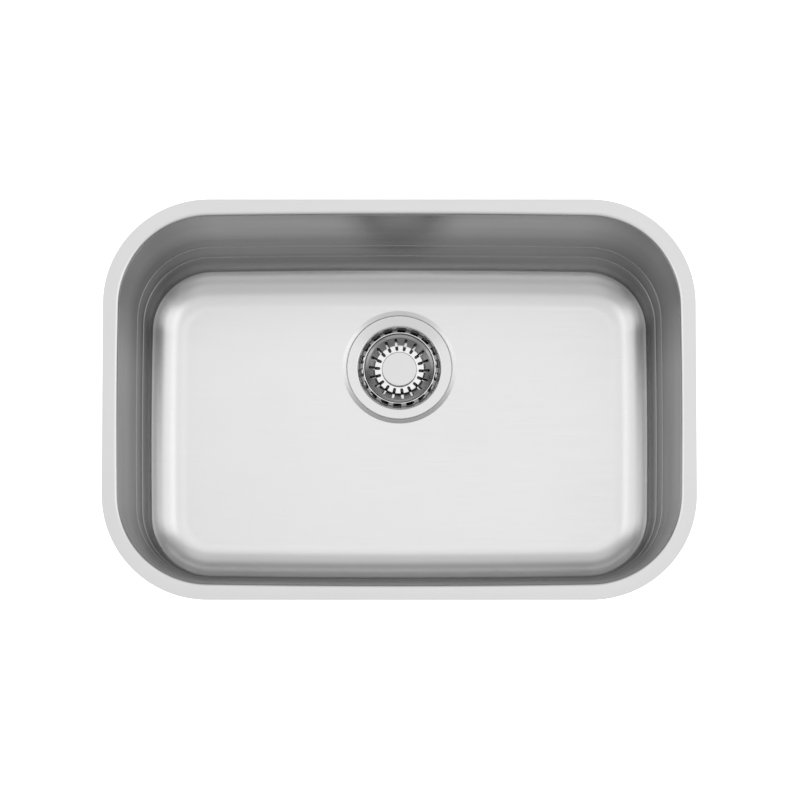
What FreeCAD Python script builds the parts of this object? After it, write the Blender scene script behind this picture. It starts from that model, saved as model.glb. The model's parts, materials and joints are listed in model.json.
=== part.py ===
"""Single-bowl undermount kitchen sink in pressed stainless steel, with its basket strainer waste.

The origin is the middle of the bowl's opening, on the top face of the flange. X runs along the sink,
Y towards the wall behind it and Z up. All lengths are millimetres.
"""
import FreeCAD, Part
import math
import os
import re
import Sketcher

SIZES = {
    # Pressed bowl
    "opening_length": 600.0,
    "opening_width": 400.0,
    "floor_corner": 24.7,
    "long_side_bow": 1.7,
    "short_side_bow": 0.9,
    "flange_width": 16.0,
    "sheet_gauge": 1.0,
    "bowl_depth": 185.0,
    "wall_slope_share": 0.21,
    "rim_round": 3.5,
    "floor_round": 40.0,
    "floor_lap": 1.0,
    "trim_allowance": 6.0,
    # Outlet recess in the floor
    "drain_setback": 66.0,
    "recess_depth": 3.0,
    "recess_mouth": 62.4,
    "recess_flat": 56.4,
    "recess_round": 2.2,
    "outlet_hole": 45.5,
    # Sound pads under the floor
    "pad_length": 130.0,
    "pad_width": 200.0,
    "pad_corner": 12.0,
    "pad_thickness": 2.5,
    "pad_spread": 148.0,
    # Steel cup of the waste
    "flange_sink": 1.0,
    "waste_gauge": 0.8,
    "flange_radius": 57.2,
    "flange_turn": 1.3,
    "flange_edge_round": 1.2,
    "cup_radius": 43.6,
    "cup_shoulder": 4.2,
    "cup_depth": 22.0,
    "cup_foot_round": 5.0,
    "well_radius": 11.5,
    "well_depth": 5.0,
    "well_round": 1.2,
    "cup_hole_count": 8,
    "cup_hole_radius": 5.0,
    "cup_hole_circle": 19.5,
    # Seals and rings that clamp the waste to the sheet
    "seal_fit": 0.3,
    "gasket_inner": 47.0,
    "gasket_outer": 57.0,
    "gasket_thickness": 3.0,
    "slip_ring_thickness": 1.0,
    # Moulded waste body and its outlet
    "body_rim_radius": 58.0,
    "body_rim_thickness": 4.5,
    "body_radius": 50.5,
    "body_wall": 3.0,
    "body_drop": 20.0,
    "body_round": 5.0,
    "funnel_height": 16.0,
    "spigot_radius": 23.9,
    "spigot_wall": 4.0,
    "spigot_length": 30.0,
    "hub_radius": 10.5,
    "hub_length": 20.0,
    "hub_drop": 1.6,
    "rib_count": 3,
    "rib_thickness": 3.0,
    "rib_height": 8.0,
    # Centre screw with its insert and washer
    "screw_radius": 5.0,
    "screw_length": 24.0,
    "screw_head_radius": 9.0,
    "screw_head_height": 3.2,
    "screw_head_round": 0.8,
    "driver_slot_width": 2.0,
    "driver_slot_depth": 1.2,
    "screw_clearance": 0.3,
    "screw_seal_thickness": 1.0,
    "insert_radius": 7.5,
    "insert_length": 14.0,
    "insert_step": 3.0,
    "thread_fit": 0.05,
    # Strainer basket
    "lip_drop": 3.4,
    "lip_fall": 3.0,
    "lip_radius": 43.2,
    "lip_slot_inner": 39.3,
    "lip_slot_outer": 42.5,
    "lip_slot_share": 0.64,
    "lip_slot_round": 0.6,
    "bead_radius": 38.3,
    "bead_round": 1.1,
    "step_outer": 37.4,
    "step_inner": 34.4,
    "step_drop": 2.6,
    "step_fall": 1.9,
    "basket_depth": 14.6,
    "basket_foot": 26.4,
    "basket_foot_round": 2.2,
    "slot_count": 18,
    "slot_inner": 20.8,
    "slot_outer": 33.4,
    "slot_width": 3.3,
    "basket_phase": 16.75,
    # Knob
    "cap_drop": 10.0,
    "cap_radius": 19.0,
    "cap_turn": 2.4,
    "cap_round": 1.0,
    "hub_neck_radius": 9.0,
    "hub_plate_height": 1.8,
    "hub_flare_height": 1.4,
    "cap_fit": 0.2,
    # Stem and stopper
    "stem_radius": 3.0,
    "stem_length": 36.0,
    "stem_head_radius": 5.0,
    "stem_head_height": 1.5,
    "stem_head_room": 0.5,
    "stem_collar_radius": 5.0,
    "stem_collar_height": 1.0,
    "stem_tip_chamfer": 0.8,
    "turn_fit": 0.06,
    "turn_play": 0.2,
    "slide_fit": 0.08,
    "stopper_plate_radius": 23.0,
    "stopper_plate_thickness": 1.6,
    "stopper_boss_radius": 12.0,
    "stopper_boss_height": 1.6,
    "stopper_radius": 26.6,
    "stopper_edge": 0.8,
    "stopper_crown": 24.8,
    "stopper_grip": 2.0,
    "stopper_fit": 0.05,
    "stopper_clearance": 0.3,
    "nut_width": 10.0,
    "nut_thickness": 2.5,
    "washer_radius": 8.0,
    "washer_thickness": 0.6,
    "ring_section": 0.85,
    "ring_height": 1.6,
    "ring_play": 0.1,
    "ring_setup": 8.0,
    # Overrun of every cut past the face that it goes through
    "overrun": 2.0,
}

ALIAS = re.compile(r"\b(" + "|".join(SIZES) + r")\b")

# Levels below the top of the flange, and levels below the waste's own flange
WASTE_LEVEL = "-(bowl_depth + flange_sink)"
RECESS_TOP = "-(recess_depth - flange_sink)"
RECESS_UNDER = f"({RECESS_TOP} - sheet_gauge)"
SLIP_RING_TOP = f"({RECESS_UNDER} - gasket_thickness)"
BODY_TOP = f"({SLIP_RING_TOP} - slip_ring_thickness)"
FUNNEL_TOP = f"({BODY_TOP} - body_drop)"
SPIGOT_TOP = f"({FUNNEL_TOP} - funnel_height)"
WELL_FLOOR = "-(cup_depth + well_depth)"
HUB_TOP = f"({WELL_FLOOR} - waste_gauge - hub_drop)"
INSERT_TOP = f"({HUB_TOP} - insert_step)"
SCREW_HEAD_UNDER = f"({WELL_FLOOR} + screw_seal_thickness)"
BASKET_UNDER = "-(basket_depth + waste_gauge)"
CAP_UNDER = "-(cap_drop + waste_gauge)"
STEM_HEAD_TOP = f"({CAP_UNDER} - stem_head_room)"
STEM_HEAD_UNDER = f"({STEM_HEAD_TOP} - stem_head_height)"
HUB_POCKET = f"({STEM_HEAD_UNDER} - turn_play)"
COLLAR_TOP = f"({BASKET_UNDER} - turn_play)"
PLATE_TOP = f"({COLLAR_TOP} - stem_collar_height)"
PLATE_UNDER = f"({PLATE_TOP} - stopper_plate_thickness)"
WASHER_UNDER = f"({PLATE_UNDER} - washer_thickness)"
STEM_TIP = f"({STEM_HEAD_TOP} - stem_length)"
RING_TOP = f"({STEM_TIP} + ring_setup)"

# Radii and reaches that several pieces share
WALL_FOOT = "(bowl_depth * wall_slope_share)"
FLOOR_TANGENT = "(floor_round * (sqrt(1 + wall_slope_share^2) - wall_slope_share))"
FLOOR_EDGE = f"({WALL_FOOT} + {FLOOR_TANGENT} + floor_lap)"
OPENING_CORNER = f"(floor_corner + {FLOOR_EDGE})"
TURN_BORE = "(stem_radius + turn_fit)"
SLIDE_BORE = "(stem_radius + slide_fit)"
SCREW_HOLE = "(screw_radius + screw_clearance)"
THREAD_BORE = "(screw_radius + thread_fit)"
BODY_BORE = "(body_radius - body_wall)"
SPIGOT_BORE = "(spigot_radius - spigot_wall)"

doc = FreeCAD.newDocument("sink")
sheet = doc.addObject("Spreadsheet::Sheet", "sizes")


def fill_sheet():
    """Write every driving dimension into the sheet, under its own alias."""
    for row, (alias, size) in enumerate(SIZES.items(), start=1):
        sheet.set(f"A{row}", alias)
        sheet.set(f"B{row}", str(size))
        sheet.setAlias(f"B{row}", alias)
    doc.recompute()


def value(text):
    """Work out a size expression."""
    return float(sheet.evalExpression(text))


def bind(target, path, text):
    """Tie a property to a size expression, with the sheet's name before each alias."""
    target.setExpression(path, ALIAS.sub(r"sizes.\g<0>", text))


def new_body(label, depth=None, setback=None):
    """Start a sub-part whose own frame lies at the given depth and setback."""
    body = doc.addObject("PartDesign::Body", label)
    body.Label = label
    if depth:
        bind(body, "Placement.Base.z", depth)
    if setback:
        bind(body, "Placement.Base.y", setback)
    return body


def waste_piece(label):
    """Start a sub-part of the waste, in the frame of the waste's flange."""
    return new_body(label, WASTE_LEVEL, "drain_setback")


def new_sketch(body, name, role="XZ_Plane", offset=None):
    """Add a sketch on one of the body's own planes, moved along the plane's normal."""
    sketch = body.newObject("Sketcher::SketchObject", f"{body.Label}_{name}")
    plane = next(part for part in body.Origin.OriginFeatures if part.Role == role)
    sketch.AttachmentSupport = (plane, [""])
    sketch.MapMode = "FlatFace"
    if offset:
        bind(sketch, "AttachmentOffset.Base.z", offset)
    return sketch


def limit(sketch, kind, *places, size=None):
    """Add one constraint, tied to a size expression where it has one."""
    number = value(size) if size else None
    given = places + (number,) if size else places
    index = sketch.addConstraint(Sketcher.Constraint(kind, *given))
    if size:
        bind(sketch, f"Constraints[{index}]", size)


def hold(sketch, shape, end, across, along):
    """Hold a point of a sketch at two size expressions."""
    if across == "0":
        limit(sketch, "PointOnObject", shape, end, -2)
    else:
        limit(sketch, "DistanceX", -1, 1, shape, end, size=across)
    if along == "0":
        limit(sketch, "PointOnObject", shape, end, -1)
    else:
        limit(sketch, "DistanceY", -1, 1, shape, end, size=along)


def turn_at(before, here, after):
    """Give the directions into and out of a corner, and the angle it turns, left counted positive."""
    inward = (here - before).normalize()
    outward = (after - here).normalize()
    angle = math.atan2(inward.x * outward.y - inward.y * outward.x, inward.dot(outward))
    return inward, outward, angle


def corner_arc(sketch, here, inward, outward, angle, radius):
    """Draw a corner's round, and give it with its two ends in walking order."""
    reach = radius * math.tan(abs(angle) / 2)
    start = here - inward * reach
    finish = here + outward * reach
    side = math.copysign(1.0, angle)
    centre = start + FreeCAD.Vector(-inward.y, inward.x, 0) * radius * side
    first, last = (start, finish) if angle > 0 else (finish, start)
    low = math.atan2(first.y - centre.y, first.x - centre.x)
    high = math.atan2(last.y - centre.y, last.x - centre.x)
    circle = Part.Circle(centre, FreeCAD.Vector(0, 0, 1), radius)
    arc = sketch.addGeometry(Part.ArcOfCircle(circle, low, high if high > low else high + 2 * math.pi))
    return arc, (1, 2) if angle > 0 else (2, 1), start, finish


def chain(sketch, spots, rounds, closed):
    """Draw straight runs through the spots, with the rounds between them, and join them end to end.

    Gives the lines, and for each spot its round's arc or None.
    """
    count = len(spots)
    ends = [[spot, spot] for spot in spots]
    arcs = [None] * count
    for index, radius in enumerate(rounds):
        if radius:
            near = spots[index - 1], spots[index], spots[(index + 1) % count]
            inward, outward, angle = turn_at(*near)
            arc, order, start, finish = corner_arc(sketch, spots[index], inward, outward, angle, radius)
            arcs[index] = arc, order
            ends[index] = [start, finish]
    runs = count if closed else count - 1
    lines = []
    for index in range(runs):
        run = Part.LineSegment(ends[index][1], ends[(index + 1) % count][0])
        lines.append(sketch.addGeometry(run))
    for index in range(count):
        if not closed and index in (0, count - 1):
            continue
        if arcs[index]:
            arc, (entry, leave) = arcs[index]
            limit(sketch, "Tangent", lines[index - 1], 2, arc, entry)
            limit(sketch, "Tangent", arc, leave, lines[index], 1)
        else:
            limit(sketch, "Coincident", lines[index - 1], 2, lines[index], 1)
    return lines, arcs


def hold_corners(sketch, corners, lines, arcs, closed):
    """Hold every corner of a chain at its sizes, through a construction point where it is round."""
    last = len(corners) - 1
    for index, (across, along, radius) in enumerate(corners):
        if arcs[index]:
            spot = FreeCAD.Vector(value(across), value(along), 0)
            point = sketch.addGeometry(Part.Point(spot), True)
            limit(sketch, "PointOnObject", point, 1, lines[index - 1])
            limit(sketch, "PointOnObject", point, 1, lines[index])
            hold(sketch, point, 1, across, along)
            limit(sketch, "Radius", arcs[index][0], size=radius)
        elif not closed and index == last:
            hold(sketch, lines[-1], 2, across, along)
        else:
            hold(sketch, lines[index], 1, across, along)


def outline(sketch, corners):
    """Draw a closed outline through corners given as across, along and a radius or None."""
    spots = [FreeCAD.Vector(value(across), value(along), 0) for across, along, _ in corners]
    rounds = [value(radius) if radius else 0 for _, _, radius in corners]
    lines, arcs = chain(sketch, spots, rounds, closed=True)
    hold_corners(sketch, corners, lines, arcs, closed=True)


def band(sketch, corners, gauge):
    """Draw the section of a pressed sheet: its upper face through the corners, its lower face a gauge away.

    The lower face lies on the left of the walk from the first corner to the last.
    """
    spots = [FreeCAD.Vector(value(across), value(along), 0) for across, along, _ in corners]
    rounds = [value(radius) if radius else 0 for _, _, radius in corners]
    depth = value(gauge)
    upper, upper_arcs = chain(sketch, spots, rounds, closed=False)
    hold_corners(sketch, corners, upper, upper_arcs, closed=False)
    last = len(spots) - 1
    under = []
    under_rounds = []
    turns = []
    for index, spot in enumerate(spots):
        before = spots[index - 1] if index else spot * 2 - spots[1]
        after = spots[index + 1] if index < last else spot * 2 - spots[last - 1]
        inward, outward, angle = turn_at(before, spot, after)
        normals = FreeCAD.Vector(-inward.y, inward.x, 0) + FreeCAD.Vector(-outward.y, outward.x, 0)
        under.append(spot + normals * (depth / (1 + inward.dot(outward))))
        radius = rounds[index] - depth * math.copysign(1.0, angle)
        under_rounds.append(radius if rounds[index] and radius > 0 else 0)
        turns.append(angle)
    lower, lower_arcs = chain(sketch, under, under_rounds, closed=False)
    for index, line in enumerate(lower):
        limit(sketch, "Parallel", line, upper[index])
        limit(sketch, "Distance", upper[index], 1, line, size=gauge)
    for index, arc in enumerate(lower_arcs):
        if arc:
            sign = "-" if turns[index] > 0 else "+"
            limit(sketch, "Radius", arc[0], size=f"{corners[index][2]} {sign} {gauge}")
    for end, line in ((1, 0), (2, -1)):
        at = 0 if end == 1 else last
        cap = sketch.addGeometry(Part.LineSegment(spots[at], under[at]))
        limit(sketch, "Coincident", cap, 1, upper[line], end)
        limit(sketch, "Coincident", cap, 2, lower[line], end)
        limit(sketch, "Perpendicular", cap, upper[line])


def bowed_outline(sketch, reach):
    """Draw the drawn outline of the bowl, the given reach inside its opening.

    The sides bow outwards a little and run tangent into the corners. The right side is two arcs,
    which meet on the X axis.
    """
    half_length = "(opening_length / 2)"
    half_width = "(opening_width / 2)"
    flat_length = f"({half_length} - {OPENING_CORNER})"
    flat_width = f"({half_width} - {OPENING_CORNER})"
    long_radius = f"(({flat_length}^2 + long_side_bow^2) / (2 * long_side_bow))"
    short_radius = f"(({flat_width}^2 + short_side_bow^2) / (2 * short_side_bow))"
    long_centre = value(f"{long_radius} - {half_width}")
    short_centre = value(f"{short_radius} - {half_length}")
    inset = value(reach)
    long_reach = value(f"{long_radius} - {OPENING_CORNER}")
    short_reach = value(f"{short_radius} - {OPENING_CORNER}")
    # The corner's centre lies where the circles about the two sides' centres cross
    span = math.hypot(long_centre, short_centre)
    along = (short_reach**2 - long_reach**2 + span**2) / (2 * span)
    aside = math.sqrt(short_reach**2 - along**2)
    to_long = FreeCAD.Vector(short_centre, -long_centre, 0) / span
    corner = FreeCAD.Vector(-short_centre, 0, 0) + to_long * along
    corner += FreeCAD.Vector(-to_long.y, to_long.x, 0) * aside
    side_turn = math.atan2(corner.y, corner.x + short_centre)
    long_turn = math.atan2(corner.y + long_centre, corner.x)
    half_turn = math.pi
    up = FreeCAD.Vector(0, 0, 1)
    corner_radius = value(OPENING_CORNER) - inset
    side_radius = value(short_radius) - inset
    top_radius = value(long_radius) - inset
    right = FreeCAD.Vector(-short_centre, 0, 0)
    back = FreeCAD.Vector(0, -long_centre, 0)
    left_corner = FreeCAD.Vector(-corner.x, corner.y, 0)
    steps = [
        (right, side_radius, 0, side_turn),
        (corner, corner_radius, side_turn, long_turn),
        (back, top_radius, long_turn, half_turn - long_turn),
        (left_corner, corner_radius, half_turn - long_turn, half_turn - side_turn),
        (-right, side_radius, half_turn - side_turn, half_turn + side_turn),
        (-corner, corner_radius, half_turn + side_turn, half_turn + long_turn),
        (-back, top_radius, half_turn + long_turn, 2 * half_turn - long_turn),
        (-left_corner, corner_radius, 2 * half_turn - long_turn, 2 * half_turn - side_turn),
        (right, side_radius, 2 * half_turn - side_turn, 2 * half_turn),
    ]
    arcs = []
    for centre, radius, low, high in steps:
        arcs.append(sketch.addGeometry(Part.ArcOfCircle(Part.Circle(centre, up, radius), low, high)))
    for before, after in zip(arcs, arcs[1:]):
        limit(sketch, "Tangent", before, 2, after, 1)
    limit(sketch, "Coincident", arcs[8], 2, arcs[0], 1)
    limit(sketch, "Coincident", arcs[8], 3, arcs[0], 3)
    limit(sketch, "PointOnObject", arcs[0], 1, -1)
    for index in (1, 3, 5, 7):
        limit(sketch, "Radius", arcs[index], size=f"{OPENING_CORNER} - {reach}")
    for index, sign in ((2, "-"), (6, "")):
        limit(sketch, "Radius", arcs[index], size=f"{long_radius} - {reach}")
        hold(sketch, arcs[index], 3, "0", f"{sign}({long_radius} - {half_width})")
    for index, sign in ((0, "-"), (4, "")):
        limit(sketch, "Radius", arcs[index], size=f"{short_radius} - {reach}")
        hold(sketch, arcs[index], 3, f"{sign}({short_radius} - {half_length})", "0")


def ring(sketch, across, along, radius):
    """Draw a circle held at its centre and radius."""
    centre = FreeCAD.Vector(value(across), value(along), 0)
    circle = sketch.addGeometry(Part.Circle(centre, FreeCAD.Vector(0, 0, 1), value(radius)))
    hold(sketch, circle, 3, across, along)
    limit(sketch, "Radius", circle, size=radius)


def radial_slot(sketch, inner, outer, width):
    """Draw a slot with round ends along the sketch's X axis."""
    half = value(f"{width} / 2")
    left = FreeCAD.Vector(value(inner) + half, 0, 0)
    right = FreeCAD.Vector(value(outer) - half, 0, 0)
    aside = FreeCAD.Vector(0, half, 0)
    up = FreeCAD.Vector(0, 0, 1)
    quarter = math.pi / 2
    far = sketch.addGeometry(Part.ArcOfCircle(Part.Circle(right, up, half), -quarter, quarter))
    top = sketch.addGeometry(Part.LineSegment(right + aside, left + aside))
    near = sketch.addGeometry(Part.ArcOfCircle(Part.Circle(left, up, half), quarter, 3 * quarter))
    bottom = sketch.addGeometry(Part.LineSegment(left - aside, right - aside))
    for before, after in ((far, top), (top, near), (near, bottom), (bottom, far)):
        limit(sketch, "Tangent", before, 2, after, 1)
    for arc, place in ((far, f"{outer} - {width} / 2"), (near, f"{inner} + {width} / 2")):
        limit(sketch, "Radius", arc, size=f"{width} / 2")
        hold(sketch, arc, 3, place, "0")


def revolve(body, sketch, name="turned"):
    """Turn a sketch once round its own vertical axis."""
    feature = body.newObject("PartDesign::Revolution", f"{body.Label}_{name}")
    feature.Profile = sketch
    feature.ReferenceAxis = (sketch, ["V_Axis"])
    feature.Angle = 360
    doc.recompute()
    return feature


def pad(body, sketch, length, name="raised", midplane=False):
    """Raise a sketch along its normal."""
    feature = body.newObject("PartDesign::Pad", f"{body.Label}_{name}")
    feature.Profile = sketch
    feature.Midplane = midplane
    bind(feature, "Length", length)
    doc.recompute()
    return feature


def pocket(body, sketch, name="cut"):
    """Cut a sketch down through the whole piece, and make sure that something was cut."""
    before = body.Shape.Volume
    feature = body.newObject("PartDesign::Pocket", f"{body.Label}_{name}")
    feature.Profile = sketch
    feature.Type = "ThroughAll"
    doc.recompute()
    if not body.Shape.Volume < before:
        raise RuntimeError(f"{feature.Label} cuts nothing")
    return feature


def repeat_round(body, feature, count):
    """Repeat a feature evenly round the body's Z axis."""
    axis = next(part for part in body.Origin.OriginFeatures if part.Role == "Z_Axis")
    pattern = body.newObject("PartDesign::PolarPattern", f"{feature.Label}_round")
    pattern.Originals = [feature]
    pattern.Axis = (axis, [""])
    pattern.Angle = 360
    bind(pattern, "Occurrences", count)
    body.Tip = pattern
    doc.recompute()


def turned_piece(label, corners):
    """Make a piece of the waste that is turned from one closed outline."""
    body = waste_piece(label)
    sketch = new_sketch(body, "section")
    outline(sketch, corners)
    revolve(body, sketch)
    return body


def square_ring(label, inner, outer, top, under):
    """Make a plain ring of the waste from its radii and levels."""
    corners = [(inner, under, None), (outer, under, None), (outer, top, None), (inner, top, None)]
    return turned_piece(label, corners)


def make_bowl():
    """Press the bowl: flange, walls and floor round, then the floor, the outlet recess and the trim."""
    body = new_body("bowl")
    path = new_sketch(body, "opening", "XY_Plane")
    bowed_outline(path, "0")
    section = new_sketch(body, "wall_section")
    side = "(opening_length / 2)"
    band(section, [
        (f"{side} + flange_width + trim_allowance", "0", None),
        (side, "0", "rim_round"),
        (f"{side} - {WALL_FOOT}", "-bowl_depth", "floor_round"),
        (f"{side} - {FLOOR_EDGE}", "-bowl_depth", None),
    ], "sheet_gauge")
    doc.recompute()
    wall = body.newObject("PartDesign::AdditivePipe", "bowl_wall")
    wall.Profile = section
    wall.Spine = (path, [f"Edge{index}" for index in range(1, path.GeometryCount + 1)])
    doc.recompute()
    floor = new_sketch(body, "floor", "XY_Plane", "-(bowl_depth + sheet_gauge)")
    bowed_outline(floor, FLOOR_EDGE)
    pad(body, floor, "sheet_gauge", "floor_sheet")
    mouth = new_sketch(body, "recess_mouth", "XY_Plane", "overrun")
    ring(mouth, "0", "drain_setback", "recess_mouth + recess_round")
    pocket(body, mouth, "recess_opening")
    recess = new_sketch(body, "recess", "XZ_Plane", "-drain_setback")
    band(recess, [
        ("recess_mouth + recess_round", "-bowl_depth", None),
        ("recess_mouth", "-bowl_depth", "recess_round"),
        ("recess_flat", "-(bowl_depth + recess_depth)", "recess_round"),
        ("outlet_hole", "-(bowl_depth + recess_depth)", None),
    ], "sheet_gauge")
    revolve(body, recess, "recess_pressing")
    trim = new_sketch(body, "trim", "XY_Plane", "overrun")
    edge = "(flange_width + trim_allowance + long_side_bow + overrun)"
    for margin, radius in ((edge, None), ("flange_width", f"{OPENING_CORNER} + flange_width")):
        across = f"(opening_length / 2 + {margin})"
        along = f"(opening_width / 2 + {margin})"
        outline(trim, [
            (f"-{across}", f"-{along}", radius),
            (across, f"-{along}", radius),
            (across, along, radius),
            (f"-{across}", along, radius),
        ])
    pocket(body, trim, "trimmed")
    return body


def make_sound_pad(label, side):
    """Cut a sound pad and stick it under the floor, on the left or the right."""
    body = new_body(label, "-(bowl_depth + sheet_gauge + pad_thickness)")
    bind(body, "Placement.Base.x", f"{side}pad_spread")
    sketch = new_sketch(body, "outline", "XY_Plane")
    outline(sketch, [
        ("-pad_length / 2", "-pad_width / 2", "pad_corner"),
        ("pad_length / 2", "-pad_width / 2", "pad_corner"),
        ("pad_length / 2", "pad_width / 2", "pad_corner"),
        ("-pad_length / 2", "pad_width / 2", "pad_corner"),
    ])
    pad(body, sketch, "pad_thickness")
    return body


def make_waste_flange():
    """Press the steel cup: a flat flange, a round shoulder, a holed floor and a well for the screw."""
    body = waste_piece("waste_flange")
    section = new_sketch(body, "section")
    band(section, [
        ("flange_radius", "-flange_turn", None),
        ("flange_radius", "0", "flange_edge_round"),
        ("cup_radius", "0", "cup_shoulder"),
        ("cup_radius", "-cup_depth", "cup_foot_round"),
        ("well_radius", "-cup_depth", "well_round"),
        ("well_radius", WELL_FLOOR, "well_round"),
        (SCREW_HOLE, WELL_FLOOR, None),
    ], "waste_gauge")
    revolve(body, section)
    hole = new_sketch(body, "outlet", "XY_Plane", "overrun")
    ring(hole, "cup_hole_circle", "0", "cup_hole_radius")
    repeat_round(body, pocket(body, hole, "outlet_hole"), "cup_hole_count")
    return body


def make_waste_body():
    """Mould the waste body: rim, bowl and funnel, with a ribbed hub for the screw."""
    body = waste_piece("waste_body")
    section = new_sketch(body, "section")
    funnel_bore = f"({SPIGOT_TOP} + body_wall / 2)"
    outline(section, [
        (BODY_BORE, BODY_TOP, None),
        (BODY_BORE, FUNNEL_TOP, "body_round - body_wall"),
        (SPIGOT_BORE, funnel_bore, None),
        (SPIGOT_BORE, SPIGOT_TOP, None),
        ("spigot_radius", SPIGOT_TOP, None),
        ("body_radius", FUNNEL_TOP, "body_round"),
        ("body_radius", f"{BODY_TOP} - body_rim_thickness", None),
        ("body_rim_radius", f"{BODY_TOP} - body_rim_thickness", None),
        ("body_rim_radius", BODY_TOP, None),
    ])
    revolve(body, section, "shell")
    hub = new_sketch(body, "hub")
    outline(hub, [
        (THREAD_BORE, HUB_TOP, None),
        (THREAD_BORE, INSERT_TOP, None),
        ("insert_radius", INSERT_TOP, None),
        ("insert_radius", f"{INSERT_TOP} - insert_length", None),
        (THREAD_BORE, f"{INSERT_TOP} - insert_length", None),
        (THREAD_BORE, f"{HUB_TOP} - hub_length", None),
        ("hub_radius", f"{HUB_TOP} - hub_length", None),
        ("hub_radius", HUB_TOP, None),
    ])
    rib = new_sketch(body, "rib")
    slope = f"(({BODY_BORE} - {SPIGOT_BORE}) / ({FUNNEL_TOP} - {funnel_bore}))"
    rib_top = f"({HUB_TOP} - body_wall)"
    wall_at_top = f"({BODY_BORE} - ({FUNNEL_TOP} - {rib_top}) * {slope})"
    outline(rib, [
        ("hub_radius - body_wall / 2", rib_top, None),
        ("hub_radius - body_wall / 2", f"{rib_top} - rib_height", None),
        (f"{wall_at_top} - rib_height * {slope} + body_wall / 2", f"{rib_top} - rib_height", None),
        (f"{wall_at_top} + body_wall / 2", rib_top, None),
    ])
    repeat_round(body, pad(body, rib, "rib_thickness", "rib", midplane=True), "rib_count")
    revolve(body, hub, "hub")
    return body


def make_centre_screw():
    """Turn the hollow centre screw, with a driver slot across its head."""
    head_top = f"({SCREW_HEAD_UNDER} + screw_head_height)"
    tip = f"({SCREW_HEAD_UNDER} - screw_length)"
    body = turned_piece("centre_screw", [
        (SLIDE_BORE, head_top, None),
        (SLIDE_BORE, tip, None),
        ("screw_radius", tip, None),
        ("screw_radius", SCREW_HEAD_UNDER, None),
        ("screw_head_radius", SCREW_HEAD_UNDER, None),
        ("screw_head_radius", head_top, "screw_head_round"),
    ])
    slot = new_sketch(body, "driver_slot", "XY_Plane", f"{head_top} - driver_slot_depth")
    across = "(screw_head_radius + overrun)"
    outline(slot, [
        (f"-{across}", "-driver_slot_width / 2", None),
        (across, "-driver_slot_width / 2", None),
        (across, "driver_slot_width / 2", None),
        (f"-{across}", "driver_slot_width / 2", None),
    ])
    before = body.Shape.Volume
    cut = body.newObject("PartDesign::Pocket", "centre_screw_driver_cut")
    cut.Profile = slot
    cut.Reversed = True
    bind(cut, "Length", "driver_slot_depth + overrun")
    doc.recompute()
    if not body.Shape.Volume < before:
        raise RuntimeError("the driver slot cuts nothing")
    return body


def make_thread_insert():
    """Turn the brass insert that the hub is moulded round."""
    return square_ring(
        "thread_insert", THREAD_BORE, "insert_radius", INSERT_TOP, f"{INSERT_TOP} - insert_length"
    )


def make_basket():
    """Press the strainer basket, then pierce its radial slots and the slots of its lip."""
    body = waste_piece("basket")
    bind(body, "Placement.Rotation.Angle", "basket_phase")
    section = new_sketch(body, "section")
    step_level = "(lip_drop + step_drop)"
    band(section, [
        ("lip_radius", "-(lip_drop + lip_fall)", None),
        ("bead_radius", "-lip_drop", "bead_round"),
        ("step_outer", f"-{step_level}", "bead_round"),
        ("step_inner", f"-({step_level} + step_fall)", "bead_round"),
        ("basket_foot", "-basket_depth", "basket_foot_round"),
        (TURN_BORE, "-basket_depth", None),
    ], "waste_gauge")
    revolve(body, section)
    slot = new_sketch(body, "slots", "XY_Plane", "overrun")
    radial_slot(slot, "slot_inner", "slot_outer", "slot_width")
    pitch = "(360 deg / slot_count)"
    low = f"({pitch} * (1 - lip_slot_share) / 2)"
    high = f"({pitch} * (1 + lip_slot_share) / 2)"
    outline(slot, [
        (f"{reach} * cos({angle})", f"{reach} * sin({angle})", "lip_slot_round")
        for reach, angle in (
            ("lip_slot_inner", low), ("lip_slot_outer", low),
            ("lip_slot_outer", high), ("lip_slot_inner", high),
        )
    ])
    repeat_round(body, pocket(body, slot, "slot"), "slot_count")
    return body


def make_knob_cap():
    """Press the flat round cap of the knob."""
    body = waste_piece("knob_cap")
    section = new_sketch(body, "section")
    band(section, [
        ("cap_radius", "-(cap_drop + cap_turn)", None),
        ("cap_radius", "-cap_drop", "cap_round"),
        ("0", "-cap_drop", None),
    ], "waste_gauge")
    revolve(body, section)
    return body


def make_knob_hub():
    """Mould the hub that carries the cap, with a pocket for the head of the stem."""
    plate = "(cap_radius - waste_gauge - cap_fit)"
    pocket_radius = "(stem_head_radius + stem_head_room)"
    plate_under = f"({CAP_UNDER} - hub_plate_height)"
    return turned_piece("knob_hub", [
        (TURN_BORE, "-basket_depth", None),
        ("hub_neck_radius", "-basket_depth", None),
        ("hub_neck_radius", f"{plate_under} - hub_flare_height", None),
        (plate, plate_under, None),
        (plate, CAP_UNDER, None),
        (pocket_radius, CAP_UNDER, None),
        (pocket_radius, HUB_POCKET, None),
        (TURN_BORE, HUB_POCKET, None),
    ])


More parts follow.
